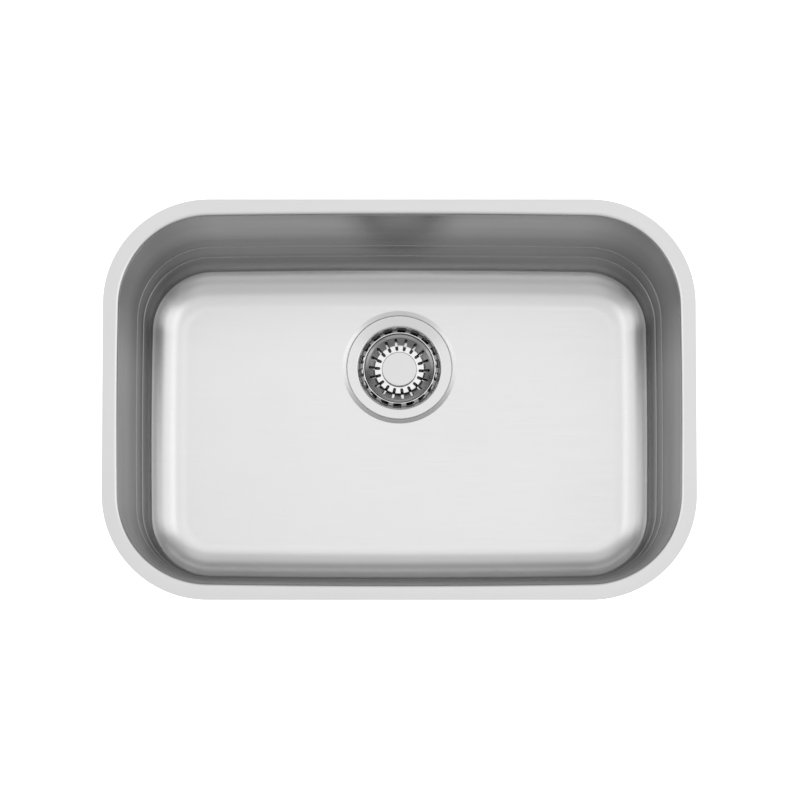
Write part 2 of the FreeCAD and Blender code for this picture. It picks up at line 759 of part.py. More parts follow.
def make_stem():
    """Turn the stem: riveted head, journal, collar for the stopper, and a groove for its ring."""
    groove = "(stem_radius + slide_fit / 2 - ring_section)"
    groove_under = f"({RING_TOP} - ring_height - ring_play)"
    return turned_piece("stem", [
        ("0", STEM_HEAD_TOP, None),
        ("0", STEM_TIP, None),
        ("stem_radius - stem_tip_chamfer", STEM_TIP, None),
        ("stem_radius", f"{STEM_TIP} + stem_tip_chamfer", None),
        ("stem_radius", groove_under, None),
        (groove, groove_under, None),
        (groove, f"{RING_TOP} + ring_play", None),
        ("stem_radius", f"{RING_TOP} + ring_play", None),
        ("stem_radius", PLATE_TOP, None),
        ("stem_collar_radius", PLATE_TOP, None),
        ("stem_collar_radius", COLLAR_TOP, None),
        ("stem_radius", COLLAR_TOP, None),
        ("stem_radius", STEM_HEAD_UNDER, None),
        ("stem_head_radius", STEM_HEAD_UNDER, None),
        ("stem_head_radius", STEM_HEAD_TOP, "stem_head_height / 2"),
    ])


def make_stopper_plate():
    """Mould the plate that backs the stopper."""
    boss_under = f"({PLATE_UNDER} - stopper_boss_height)"
    return turned_piece("stopper_plate", [
        (TURN_BORE, PLATE_TOP, None),
        (TURN_BORE, PLATE_UNDER, None),
        ("washer_radius + stopper_fit", PLATE_UNDER, None),
        ("washer_radius + stopper_fit", boss_under, None),
        ("stopper_boss_radius", boss_under, None),
        ("stopper_boss_radius", PLATE_UNDER, None),
        ("stopper_plate_radius", PLATE_UNDER, None),
        ("stopper_plate_radius", PLATE_TOP, None),
    ])


def make_stopper_seal():
    """Mould the rubber stopper, which grips the rim of its plate and lies over the cup's outlet holes."""
    under = "-(cup_depth - stopper_clearance)"
    grip_top = f"({PLATE_TOP} + stopper_edge)"
    return turned_piece("stopper_seal", [
        ("stopper_boss_radius + stopper_fit", PLATE_UNDER, None),
        ("stopper_boss_radius + stopper_fit", under, None),
        ("stopper_radius", under, None),
        ("stopper_radius", f"{under} + stopper_edge", None),
        ("stopper_crown", grip_top, "stopper_edge"),
        ("stopper_plate_radius - stopper_grip", grip_top, None),
        ("stopper_plate_radius - stopper_grip", PLATE_TOP, None),
        ("stopper_plate_radius + stopper_fit", PLATE_TOP, None),
        ("stopper_plate_radius + stopper_fit", PLATE_UNDER, None),
    ])


def make_stem_nut():
    """Cut the hexagon nut that clamps the stopper plate against the collar of the stem."""
    body = waste_piece("stem_nut")
    sketch = new_sketch(body, "hexagon", "XY_Plane", f"{WASHER_UNDER} - nut_thickness")
    point = "nut_width / sqrt(3)"
    shoulder = "nut_width / (2 * sqrt(3))"
    outline(sketch, [
        (point, "0", None),
        (shoulder, "nut_width / 2", None),
        (f"-{shoulder}", "nut_width / 2", None),
        (f"-{point}", "0", None),
        (f"-{shoulder}", "-nut_width / 2", None),
        (shoulder, "-nut_width / 2", None),
    ])
    circle = sketch.addGeometry(Part.Circle(FreeCAD.Vector(), FreeCAD.Vector(0, 0, 1), value(TURN_BORE)))
    limit(sketch, "Coincident", circle, 3, -1, 1)
    limit(sketch, "Radius", circle, size=TURN_BORE)
    pad(body, sketch, "nut_thickness")
    return body


def make_rings():
    """Make the plain rings: spigot, seals, gasket, slip ring, washers and the stem's friction ring."""
    ring_outer = "(stem_radius + slide_fit / 2)"
    return [
        square_ring(
            "outlet_spigot", SPIGOT_BORE, "spigot_radius", SPIGOT_TOP, f"({SPIGOT_TOP} - spigot_length)"
        ),
        square_ring(
            "flange_seal",
            "cup_radius + cup_shoulder + seal_fit",
            "flange_radius - flange_edge_round - seal_fit",
            "-waste_gauge",
            RECESS_TOP,
        ),
        square_ring("lower_gasket", "gasket_inner", "gasket_outer", RECESS_UNDER, SLIP_RING_TOP),
        square_ring("slip_ring", "gasket_inner", "gasket_outer", SLIP_RING_TOP, BODY_TOP),
        square_ring("screw_seal", THREAD_BORE, "screw_head_radius", SCREW_HEAD_UNDER, WELL_FLOOR),
        square_ring("stem_washer", TURN_BORE, "washer_radius", PLATE_UNDER, WASHER_UNDER),
        square_ring(
            "stem_ring", f"{ring_outer} - ring_section", ring_outer, RING_TOP, f"{RING_TOP} - ring_height"
        ),
    ]


def export(bodies):
    """Check every object of the document and write each sub-part to its own file."""
    doc.recompute()
    for item in doc.Objects:
        if "Invalid" in item.State or "Error" in item.State:
            raise RuntimeError(f"{item.Label} failed: {item.State}")
    for body in bodies:
        shape = body.Shape
        if shape.isNull() or not shape.isValid() or len(shape.Solids) != 1:
            raise RuntimeError(f"{body.Label} is not one valid solid")
    os.makedirs("parts", exist_ok=True)
    for body in bodies:
        body.Shape.exportStep(f"parts/{body.Label}.step")
        print(f"{body.Label}: {body.Shape.Volume:.1f} mm3")


fill_sheet()
export([
    make_bowl(),
    make_sound_pad("sound_pad_left", "-"),
    make_sound_pad("sound_pad_right", ""),
    make_waste_flange(),
    make_waste_body(),
    make_thread_insert(),
    make_centre_screw(),
    make_basket(),
    make_knob_cap(),
    make_knob_hub(),
    make_stem(),
    make_stopper_plate(),
    make_stopper_seal(),
    make_stem_nut(),
    *make_rings(),
])
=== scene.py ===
"""Looks of a pressed stainless steel kitchen sink and its basket strainer waste.

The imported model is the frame. The bowl, the waste's cup and the threaded spigot are modelled here
as finer meshes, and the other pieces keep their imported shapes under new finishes.
All lengths are metres, and angles among the sizes are degrees.
"""
import json
import logging
import math
from dataclasses import dataclass
from enum import Enum

import bmesh
import bpy
from mathutils import Matrix, Vector


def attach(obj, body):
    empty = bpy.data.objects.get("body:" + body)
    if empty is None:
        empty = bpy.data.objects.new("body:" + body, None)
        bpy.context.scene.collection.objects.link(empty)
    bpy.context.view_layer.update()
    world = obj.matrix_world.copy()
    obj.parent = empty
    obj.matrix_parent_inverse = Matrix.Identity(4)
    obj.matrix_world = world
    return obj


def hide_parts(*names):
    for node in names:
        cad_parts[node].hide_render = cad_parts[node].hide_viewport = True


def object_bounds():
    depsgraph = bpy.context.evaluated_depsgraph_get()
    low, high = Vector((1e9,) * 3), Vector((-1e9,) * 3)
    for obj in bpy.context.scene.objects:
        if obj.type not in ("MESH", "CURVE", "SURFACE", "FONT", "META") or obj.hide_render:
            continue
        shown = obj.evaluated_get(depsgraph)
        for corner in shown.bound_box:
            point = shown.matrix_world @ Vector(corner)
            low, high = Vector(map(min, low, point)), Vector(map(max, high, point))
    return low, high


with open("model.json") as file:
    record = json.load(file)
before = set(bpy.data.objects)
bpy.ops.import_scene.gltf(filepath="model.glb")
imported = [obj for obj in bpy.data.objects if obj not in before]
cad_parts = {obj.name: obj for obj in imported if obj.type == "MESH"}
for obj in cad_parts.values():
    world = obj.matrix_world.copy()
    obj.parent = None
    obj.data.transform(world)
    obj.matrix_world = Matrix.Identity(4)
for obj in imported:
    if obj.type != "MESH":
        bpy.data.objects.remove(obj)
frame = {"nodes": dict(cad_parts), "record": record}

CAD_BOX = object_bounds()
LOG = logging.getLogger("sink")
BODY = "sink"

Node = bpy.types.Node
Socket = bpy.types.NodeSocket
Tree = bpy.types.NodeTree
Mesh = bmesh.types.BMesh
Piece = bpy.types.Object
Pair = tuple[float, float]
Point = tuple[float, float, float]
Colour = tuple[float, float, float]
Given = Socket | float | tuple | Vector

ORIGIN = Vector((0.0, 0.0, 0.0))
UP = Vector((0.0, 0.0, 1.0))
TOWARDS_FRONT = Vector((0.0, -1.0, 0.0))
OUTLET = Vector((0.0, 0.066, 0.0))
QUARTER = math.pi / 2
LEVEL_SLACK = 0.000005
FLATTEN = (1.0, 1.0, 0.0)
WHITE = (1.0, 1.0, 1.0, 1.0)
FULL_SPAN = (0.0, 1.0)
NOISE_SPAN = (0.25, 0.75)
BAND_SCALE = (2.5, 2.5, 38.0)


class Slot(Enum):
    """The material slots of the record."""

    BOWL_STEEL = "bowl_steel"
    WASTE_STEEL = "waste_steel"
    BASKET_STEEL = "basket_steel"
    TURNED_STEEL = "turned_steel"
    INSERT_BRASS = "insert_brass"
    BLACK_RUBBER = "black_rubber"
    WHITE_PLASTIC = "white_plastic"
    GREY_PLASTIC = "grey_plastic"
    PAD_BITUMEN = "pad_bitumen"


class Axis(Enum):
    """The directions of the sink's frame."""

    LENGTH = "X"
    BACK = "Y"
    HEIGHT = "Z"


class Ramp(Enum):
    """How a value runs between the two ends of a range."""

    STRAIGHT = "LINEAR"
    SOFT = "SMOOTHSTEP"


def grey(tone: float) -> Colour:
    """Give a neutral colour."""
    return (tone, tone, tone)


class NodeBench:
    """A node tree under construction, with short ways to add and join its nodes."""

    def __init__(self, tree: Tree) -> None:
        """Take up a tree."""
        self.tree = tree

    def node(self, kind: str, **settings: str) -> Node:
        """Add a node and set its properties.

        Args:
            kind: the node's type, without the ShaderNode prefix.
            settings: property names and values.

        Returns:
            The new node.
        """
        made = self.tree.nodes.new(f"ShaderNode{kind}")
        for name, value in settings.items():
            setattr(made, name, value)
        return made

    def feed(self, node: Node, place: str | int, given: Given) -> None:
        """Give a node's input a link or a fixed value.

        Args:
            node: the node.
            place: the input's name or number.
            given: the socket to link, or the value to set.
        """
        if isinstance(given, Socket):
            self.tree.links.new(given, node.inputs[place])
        else:
            node.inputs[place].default_value = given

    def calculate(
        self, operation: str, *given: Given, kind: str = "Math", result: str = "Value"
    ) -> Socket:
        """Add a math node.

        Args:
            operation: the node's operation.
            given: its values and sockets, in order.
            kind: Math or VectorMath.
            result: the name of the output.

        Returns:
            The socket of the result.
        """
        made = self.node(kind, operation=operation)
        for place, value in enumerate(given):
            self.feed(made, place, value)
        return made.outputs[result]

    def vector(self, operation: str, *given: Given) -> Socket:
        """Add a vector math node whose result is a vector."""
        return self.calculate(operation, *given, kind="VectorMath", result="Vector")

    def along(self, axis: Axis, vector: Socket) -> Socket:
        """Take one coordinate of a vector.

        Args:
            axis: the coordinate's axis.
            vector: the vector's socket.

        Returns:
            The socket of the coordinate.
        """
        made = self.node("SeparateXYZ")
        self.feed(made, "Vector", vector)
        return made.outputs[axis.value]

    def noise(self, where: Socket, **values: Given) -> Socket:
        """Add a noise texture.

        Args:
            where: the socket of its coordinates.
            values: its scale, detail and roughness, by the names of the inputs.

        Returns:
            The socket of its value.
        """
        made = self.node("TexNoise")
        for name, value in {"Vector": where, **values}.items():
            self.feed(made, name, value)
        return made.outputs["Fac"]

    def mix(self, factor: Given, first: Given, second: Given, **settings: str) -> Socket:
        """Add a mix node.

        Args:
            factor: the share of the second value.
            first: the value at 0.
            second: the value at 1.
            settings: the node's data type and blend type.

        Returns:
            The socket of the result.
        """
        made = self.node("Mix", **settings)
        for name, value in (("Factor", factor), ("A", first), ("B", second)):
            self.feed(made, name, value)
        return made.outputs["Result"]

    def spread(
        self,
        start: Socket,
        low: float,
        high: float,
        span: tuple[Given, Given] = NOISE_SPAN,
        ramp: Ramp = Ramp.STRAIGHT,
    ) -> Socket:
        """Spread a mask over a range.

        Args:
            start: the mask.
            low: the value at the span's start.
            high: the value at its end.
            span: the part of the mask that is used.
            ramp: how the value runs between the ends.

        Returns:
            The socket of the new value.
        """
        made = self.node("MapRange", interpolation_type=ramp.value)
        names = ("Value", "From Min", "From Max", "To Min", "To Max")
        for name, value in zip(names, (start, *span, low, high)):
            self.feed(made, name, value)
        return made.outputs["Result"]


class GroupBench(NodeBench):
    """A shared node group under construction."""

    def __init__(self, name: str, inputs: dict[str, float], outputs: tuple[str, ...]) -> None:
        """Start a group with its sockets.

        Args:
            name: the group's name.
            inputs: the names and defaults of its inputs.
            outputs: the names of its outputs.
        """
        super().__init__(bpy.data.node_groups.new(name, "ShaderNodeTree"))
        for socket, value in inputs.items():
            self.add_socket(socket, "INPUT").default_value = value
        for socket in outputs:
            self.add_socket(socket, "OUTPUT")
        self.entry = self.tree.nodes.new("NodeGroupInput")
        self.leave = self.tree.nodes.new("NodeGroupOutput")

    def add_socket(self, name: str, way: str) -> bpy.types.NodeTreeInterfaceSocket:
        """Add a number's socket to the group, as INPUT or OUTPUT."""
        sockets = self.tree.interface
        return sockets.new_socket(name=name, in_out=way, socket_type="NodeSocketFloat")

    def close(self, **results: Socket) -> Tree:
        """Put the group's results out.

        Args:
            results: the socket that feeds each output.

        Returns:
            The group.
        """
        for name, socket in results.items():
            self.feed(self.leave, name, socket)
        return self.tree


def make_brushed_grain() -> Tree:
    """Build the grain of a brushed sheet: streaks along the floor, and level ones on upright walls.

    Returns:
        A group with inputs Density, Stretch, Level and Steep,
        and outputs Streak, Cloud, Upright and Band between 0 and 1.
    """
    bench = GroupBench(
        "brushed_grain",
        {"Density": 900.0, "Stretch": 0.02, "Level": 0.5, "Steep": 0.22},
        ("Streak", "Cloud", "Upright", "Band"),
    )
    given = bench.entry.outputs
    where = bench.node("TexCoord").outputs["Object"]
    across = given["Density"]
    along = bench.calculate("MULTIPLY", across, given["Stretch"])
    streaks = []
    for scales in ((along, across, along), (along, along, across)):
        scale = bench.node("CombineXYZ")
        for place, socket in enumerate(scales):
            bench.feed(scale, place, socket)
        stretched = bench.vector("MULTIPLY", where, scale.outputs["Vector"])
        streaks.append(bench.noise(stretched, Scale=1.0, Detail=3.0, Roughness=0.6))
    facing = bench.along(Axis.HEIGHT, bench.node("NewGeometry").outputs["Normal"])
    facings = (given["Level"], given["Steep"])
    upright = bench.spread(bench.calculate("ABSOLUTE", facing), *FULL_SPAN, facings, Ramp.SOFT)
    # Band: level noise for the bands of painted light and shade on upright walls.
    layers = bench.node("Mapping")
    bench.feed(layers, "Vector", where)
    bench.feed(layers, "Scale", BAND_SCALE)
    return bench.close(
        Streak=bench.mix(upright, *streaks, data_type="FLOAT"),
        Cloud=bench.noise(where, Scale=9.0, Detail=4.0),
        Upright=upright,
        Band=bench.noise(layers.outputs["Vector"], Scale=1.0, Detail=2.0),
    )


def make_moulded_skin() -> Tree:
    """Build the skin of moulded plastic or rubber: a fine pebble and a slow unevenness.

    Returns:
        A group with the input Density, and outputs Pebble and Cloud between 0 and 1.
    """
    bench = GroupBench("moulded_skin", {"Density": 1500.0}, ("Pebble", "Cloud"))
    where = bench.node("TexCoord").outputs["Object"]
    return bench.close(
        Pebble=bench.noise(where, Scale=bench.entry.outputs["Density"], Detail=2.0),
        Cloud=bench.noise(where, Scale=35.0),
    )


class Palette:
    """The node groups that finishes share."""

    def __init__(self) -> None:
        """Build the groups."""
        self.grain = make_brushed_grain()
        self.skin = make_moulded_skin()


class FinishBench(NodeBench):
    """A material under construction, with the masks and tones that finishes are made of."""

    def __init__(self, name: str) -> None:
        """Start a material.

        Args:
            name: the material's name.
        """
        self.material = bpy.data.materials.new(name)
        self.material.use_nodes = True
        super().__init__(self.material.node_tree)
        self.shader = self.tree.nodes["Principled BSDF"]

    def dress(self, inputs: dict[str, Given]) -> None:
        """Feed the shader's inputs, each by its name."""
        for name, given in inputs.items():
            self.feed(self.shader, name, given)

    def place(self, group: Tree, **values: float) -> Node:
        """Place a shared group in the material.

        Args:
            group: the shared group.
            values: the group's input values.

        Returns:
            The group's node.
        """
        made = self.node("Group")
        made.node_tree = group
        for name, value in values.items():
            self.feed(made, name, value)
        return made

    def tint(self, mask: Socket, dark: Colour, light: Colour) -> Socket:
        """Blend two colours by a mask.

        Args:
            mask: the mask.
            dark: the colour at 0.
            light: the colour at 1.

        Returns:
            The socket of the colour.
        """
        return self.mix(mask, (*dark, 1.0), (*light, 1.0), data_type="RGBA")

    def shade(self, start: Socket, mask: Socket, tone: Socket | float) -> Socket:
        """Darken or lighten a colour where a mask is 1.

        Args:
            start: the colour's socket.
            mask: the mask's socket.
            tone: the share of the colour that is left, a number or a socket.

        Returns:
            The socket of the new colour.
        """
        paint = tone if isinstance(tone, Socket) else (*grey(tone), 1.0)
        return self.mix(mask, start, paint, data_type="RGBA", blend_type="MULTIPLY")

    def past(self, axis: Axis, low: float, high: float) -> Socket:
        """Mask what lies past a place along an axis, at both ends of the sink's length.

        Args:
            axis: the axis.
            low: where the mask is 0.
            high: where it is 1.

        Returns:
            The mask's socket.
        """
        value = self.along(axis, self.node("TexCoord").outputs["Object"])
        if axis is Axis.LENGTH:
            value = self.calculate("ABSOLUTE", value)
        return self.spread(value, *FULL_SPAN, (low, high), Ramp.SOFT)

    def outside(self, soft: float) -> Socket:
        """Mask the faces that look away from the middle of the sink or down.

        Args:
            soft: the facing past which the mask is 1.

        Returns:
            The mask's socket.
        """
        where = self.node("TexCoord").outputs["Object"]
        facing = self.node("NewGeometry").outputs["Normal"]
        away = self.vector("NORMALIZE", self.vector("MULTIPLY", where, FLATTEN))
        below = self.vector("SUBTRACT", away, UP)
        look = self.calculate("DOT_PRODUCT", below, facing, kind="VectorMath")
        return self.spread(look, *FULL_SPAN, (0.0, soft))

    def overlap(self, mask: Socket, *others: Socket) -> Socket:
        """Mask what lies in every one of some masks.

        Args:
            mask: the first mask.
            others: the other masks.

        Returns:
            The socket of their product.
        """
        for other in others:
            mask = self.calculate("MULTIPLY", mask, other)
        return mask

    def bump(self, height: Socket, depth: float) -> Socket:
        """Turn a height into a normal.

        Args:
            height: the height's socket.
            depth: how deep the bump is, in metres.

        Returns:
            The socket of the normal.
        """
        made = self.node("Bump")
        self.feed(made, "Distance", depth)
        self.feed(made, "Height", height)
        return made.outputs["Normal"]


@dataclass(frozen=True)
class Finish:
    """What every finish has: two tones, two ends of its gloss, and the scale of its relief."""

    name: str
    dark: Colour
    light: Colour
    smooth: float
    rough: float
    density: float
    depth: float


@dataclass(frozen=True)
class SteelFinish(Finish):
    """A metal finish with brush streaks and a slow cloud over it; where wall_rough is set, upright
    walls also get painted light and shade in level bands.
    """

    stretch: float = 0.02
    wall_rough: float = 0.0
    wall_band_shades: Pair = (1.0, 1.0)
    wall_facings: Pair = (0.5, 0.22)
    edge: float = 1.0

    def paint_wall_shade(
        self, palette: Palette, bench: FinishBench, grain: Node, colour: Socket
    ) -> Socket:
        """Paint light and shade into the colour of upright walls in level bands.

        Args:
            palette: the shared node groups; not used here.
            bench: the material under construction.
            grain: the grain's node.
            colour: the colour's socket.

        Returns:
            The socket of the new colour.
        """
        # Painted light and shade: level bands on upright walls.
        bands = bench.spread(grain.outputs["Band"], *self.wall_band_shades)
        return bench.shade(colour, grain.outputs["Upright"], bands)

    def make(self, palette: Palette) -> bpy.types.Material:
        """Build the finish.

        Args:
            palette: the shared node groups.

        Returns:
            The material.
        """
        bench = FinishBench(self.name)
        level, steep = self.wall_facings
        grain = bench.place(
            palette.grain, Density=self.density, Stretch=self.stretch, Level=level, Steep=steep
        )
        streak, upright = grain.outputs["Streak"], grain.outputs["Upright"]
        colour = bench.tint(grain.outputs["Cloud"], self.dark, self.light)
        roughness = bench.spread(streak, self.smooth, self.rough)
        if self.wall_rough:
            roughness = bench.calculate("MULTIPLY_ADD", upright, self.wall_rough, roughness)
            # Painted light and shade on upright walls.
            colour = self.paint_wall_shade(palette, bench, grain, colour)
        bench.dress({
            "Metallic": 1.0,
            "Specular Tint": (*grey(self.edge), 1.0),
            "Base Color": colour,
            "Roughness": roughness,
            "Normal": bench.bump(streak, self.depth),
        })
        return bench.material


@dataclass(frozen=True)
class DrawnSheetFinish(SteelFinish):
    """A deep-drawn sheet with painted shade and light: walls darker downwards and in the back
    corners, a painted light along the crease at their foot, the flange's top a little darker, and a
    dull outside.
    """

    # Painted shade that darkens the walls downwards, from the first level to the second.
    wall_levels: Pair = (-0.120, -0.005)
    downward_wall_shade: Pair = (0.68, 1.04)
    # Painted shade in the back corners.
    corner_across: Pair = (0.19, 0.27)
    corner_along: Pair = (0.03, 0.13)
    back_corner_shade: float = 0.58
    # Painted light along the crease at the foot of the walls, with painted shade taking some of it
    # back in the back corners.
    crease_levels: Pair = (-0.134, -0.154)
    crease_facings: Pair = (0.88, 0.66)
    crease_painted_light: float = 1.55
    corner_crease_shade: float = 0.70
    foot_levels: Pair = (-0.157, -0.128)
    rim_levels: Pair = (-0.00015, -0.00003)
    rim_tone: float = 0.90
    outside_facing: float = 0.2
    outside_tone: float = 0.55

    def paint_wall_shade(
        self, palette: Palette, bench: FinishBench, grain: Node, colour: Socket
    ) -> Socket:
        """Paint shade and light into the colour: walls darker downwards and in the back corners,
        and lighter along the crease at their foot.

        Args:
            palette: the shared node groups.
            bench: the material under construction.
            grain: the grain's node.
            colour: the colour's socket.

        Returns:
            The socket of the new colour.
        """
        colour = super().paint_wall_shade(palette, bench, grain, colour)
        above = bench.past(Axis.HEIGHT, *self.foot_levels)
        wall = bench.overlap(grain.outputs["Upright"], above)
        height = bench.past(Axis.HEIGHT, *self.wall_levels)
        corner = (
            bench.past(Axis.LENGTH, *self.corner_across),
            bench.past(Axis.BACK, *self.corner_along),
        )
        level, steep = self.crease_facings
        sloping = bench.place(palette.grain, Level=level, Steep=steep).outputs["Upright"]
        outside = bench.outside(self.outside_facing)
        inside = bench.spread(outside, 1.0, 0.0, FULL_SPAN)
        low = bench.past(Axis.HEIGHT, *self.crease_levels)
        crease = bench.overlap(sloping, inside, low)
        for mask, tone in (
            # Painted shade down the walls and in the back corners, painted light along the crease.
            (wall, bench.spread(height, *self.downward_wall_shade, FULL_SPAN)),
            (bench.overlap(wall, *corner), self.back_corner_shade),
            (crease, self.crease_painted_light),
            (bench.overlap(crease, *corner), self.corner_crease_shade),
            (bench.past(Axis.HEIGHT, *self.rim_levels), self.rim_tone),
            (outside, self.outside_tone),
        ):
            colour = bench.shade(colour, mask, tone)
        return colour


@dataclass(frozen=True)
class MouldedFinish(Finish):
    """A plastic or rubber finish with a fine pebbled skin."""

    def make(self, palette: Palette) -> bpy.types.Material:
        """Build the finish.

        Args:
            palette: the shared node groups.

        Returns:
            The material.
        """
        bench = FinishBench(self.name)
        skin = bench.place(palette.skin, Density=self.density)
        pebble = skin.outputs["Pebble"]
        bench.dress({
            "Base Color": bench.tint(skin.outputs["Cloud"], self.dark, self.light),
            "Roughness": bench.spread(pebble, self.smooth, self.rough),
            "Normal": bench.bump(pebble, self.depth),
        })
        return bench.material


FINISHES = {
    # Painted light and shade on the bowl's walls: level bands, darker downwards and in the back
    # corners, lighter along the crease at their foot.
    Slot.BOWL_STEEL: DrawnSheetFinish(
        "satin_sheet", grey(0.575), grey(0.605),
        smooth=0.27, rough=0.33, density=900.0, depth=0.000005,
        wall_rough=-0.07, wall_band_shades=(0.85, 1.10), edge=0.45,
    ),
    Slot.WASTE_STEEL: SteelFinish(
        "bright_pressing", grey(0.54), grey(0.57),
        smooth=0.14, rough=0.20, density=1600.0, depth=0.000005,
    ),
    # The basket's sloping faces get painted shade, darker than its flat faces.
    Slot.BASKET_STEEL: SteelFinish(
        "polished_pressing", grey(0.59), grey(0.62),
        smooth=0.10, rough=0.16, density=1600.0, depth=0.000003,
        wall_rough=0.05, wall_band_shades=(0.55, 0.70), wall_facings=(0.97, 0.87), edge=0.5,
    ),
    Slot.TURNED_STEEL: SteelFinish(
        "turned_steel", grey(0.55), (0.62, 0.62, 0.61),
        smooth=0.22, rough=0.38, density=5000.0, depth=0.00002, stretch=1.0,
    ),
    Slot.INSERT_BRASS: SteelFinish(
        "turned_brass", (0.70, 0.50, 0.20), (0.80, 0.60, 0.30),
        smooth=0.22, rough=0.38, density=5000.0, depth=0.00002, stretch=1.0,
    ),
    Slot.BLACK_RUBBER: MouldedFinish(
        "black_rubber", (0.018, 0.018, 0.019), (0.035, 0.035, 0.036),
        smooth=0.5, rough=0.7, density=2500.0, depth=0.00003,
    ),
    Slot.WHITE_PLASTIC: MouldedFinish(
        "white_plastic", (0.74, 0.74, 0.72), (0.80, 0.80, 0.78),
        smooth=0.35, rough=0.5, density=2500.0, depth=0.00002,
    ),
    Slot.GREY_PLASTIC: MouldedFinish(
        "grey_plastic", (0.10, 0.10, 0.105), (0.14, 0.14, 0.145),
        smooth=0.35, rough=0.5, density=2500.0, depth=0.00002,
    ),
    Slot.PAD_BITUMEN: MouldedFinish(
        "pad_bitumen", grey(0.03), grey(0.06),
        smooth=0.6, rough=0.85, density=700.0, depth=0.0003,
    ),
}

NODE_FINISHES = {
    "knob_cap": SteelFinish(
        "satin_cap", grey(0.50), grey(0.53),
        smooth=0.16, rough=0.24, density=1600.0, depth=0.000003,
    ),
}


class Wardrobe:
    """Every finish, built once and given to pieces by slot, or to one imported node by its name."""

    def __init__(self) -> None:
        """Build all finishes."""
        palette = Palette()
        self.materials = {slot: finish.make(palette) for slot, finish in FINISHES.items()}
        self.own = {name: finish.make(palette) for name, finish in NODE_FINISHES.items()}

    def dress(self, piece: Piece, slot: Slot) -> None:
        """Give a new piece the finish of its slot.

        Args:
            piece: the piece.
            slot: the record's slot.
        """
        piece.data.materials.clear()
        piece.data.materials.append(self.materials[slot])

    def dress_packed(self) -> None:
        """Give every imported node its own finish, or that of its slot."""
        for part in frame["record"]["subparts"]:
            shared = self.materials[Slot(part["material_slot"])]
            for place in frame["nodes"][part["node"]].material_slots:
                place.material = self.own.get(part["node"], shared)


def only_verts(geometry: list) -> list[bmesh.types.BMVert]:
    """Pick the vertices out of some geometry."""
    return [part for part in geometry if isinstance(part, bmesh.types.BMVert)]


class SectionPen:
    """Draws a section in the XZ plane as a chain of edges, one straight run or arc at a time."""

    def __init__(self, mesh: Mesh, across: float, height: float) -> None:
        """Put the pen down.

        Args:
            mesh: the mesh to draw in.
            across: where the chain starts along X.
            height: where it starts along Z.
        """
        self.mesh = mesh
        self.tip = bmesh.ops.create_vert(mesh, co=(across, 0.0, height))["vert"][0]
        self.verts = [self.tip]

    def run(self, across: float, height: float) -> "SectionPen":
        """Draw a straight run to a point.

        Args:
            across: the point's X.
            height: the point's Z.

        Returns:
            The pen.
        """
        grown = bmesh.ops.extrude_vert_indiv(self.mesh, verts=[self.tip])
        self.tip = grown["verts"][0]
        move = Vector((across, 0.0, height)) - self.tip.co
        bmesh.ops.translate(self.mesh, verts=[self.tip], vec=move)
        self.verts.append(self.tip)
        return self

    def turn(self, across: float, height: float, angle: float, steps: int) -> "SectionPen":
        """Draw an arc about a centre.

        Args:
            across: the centre's X.
            height: the centre's Z.
            angle: how far the arc goes, anticlockwise as seen from the front.
            steps: how many edges it has.

        Returns:
            The pen.
        """
        for _ in range(steps):
            spun = bmesh.ops.spin(
                self.mesh,
                geom=[self.tip],
                cent=(across, 0.0, height),
                axis=TOWARDS_FRONT,
                angle=angle / steps,
                steps=1,
            )
            self.tip = only_verts(spun["geom_last"])[0]
            self.verts.append(self.tip)
        return self

    def section(self) -> list:
        """Gather what was drawn.

        Returns:
            The chain's vertices and edges.
        """
        chosen = set(self.verts)
        edges = [edge for edge in self.mesh.edges if set(edge.verts) <= chosen]
        return [*self.verts, *edges]


def open_edges(mesh: Mesh, level: float) -> list[bmesh.types.BMEdge]:
    """Find the edges at a level that lack a face on at least one side.

    Args:
        mesh: the mesh to search.
        level: the height of the edges.

    Returns:
        The edges.
    """
    bare = [edge for edge in mesh.edges if len(edge.link_faces) < 2]
    return [
        edge for edge in bare
        if all(abs(vert.co.z - level) < LEVEL_SLACK for vert in edge.verts)
    ]


def revolve(mesh: Mesh, section: list, centre: Vector, steps: int) -> None:
    """Carry a section all the way round an upright axis and join it to its start.

    Args:
        mesh: the mesh to grow.
        section: the vertices and edges to carry.
        centre: a point of the axis.
        steps: how many rows of faces it leaves.
    """
    bmesh.ops.spin(
        mesh, geom=section, cent=centre, axis=UP, angle=math.tau, steps=steps, use_merge=True
    )


def thicken(mesh: Mesh, gauge: float) -> None:
    """Turn a drawn upper face into a sheet.

    Args:
        mesh: the mesh of the upper face.
        gauge: the sheet's thickness.
    """
    bmesh.ops.recalc_face_normals(mesh, faces=mesh.faces)
    largest = max(mesh.faces, key=lambda face: abs(face.normal.z) * face.calc_area())
    if largest.normal.z < 0:
        bmesh.ops.reverse_faces(mesh, faces=mesh.faces)
    bmesh.ops.solidify(mesh, geom=mesh.faces, thickness=gauge)
    bmesh.ops.recalc_face_normals(mesh, faces=mesh.faces)


def finish_mesh(mesh: Mesh, name: str, sharp: float = 40.0) -> Piece:
    """Turn a bmesh into a smooth-shaded object at the origin.

    Args:
        mesh: the finished bmesh, freed here.
        name: the object's name.
        sharp: the angle in degrees past which an edge stays sharp.

    Returns:
        The object.
    """
    data = bpy.data.meshes.new(name)
    mesh.to_mesh(data)
    mesh.free()
    data.shade_smooth()
    data.set_sharp_from_angle(angle=math.radians(sharp))
    piece = bpy.data.objects.new(name, data)
    bpy.context.scene.collection.objects.link(piece)
    return piece


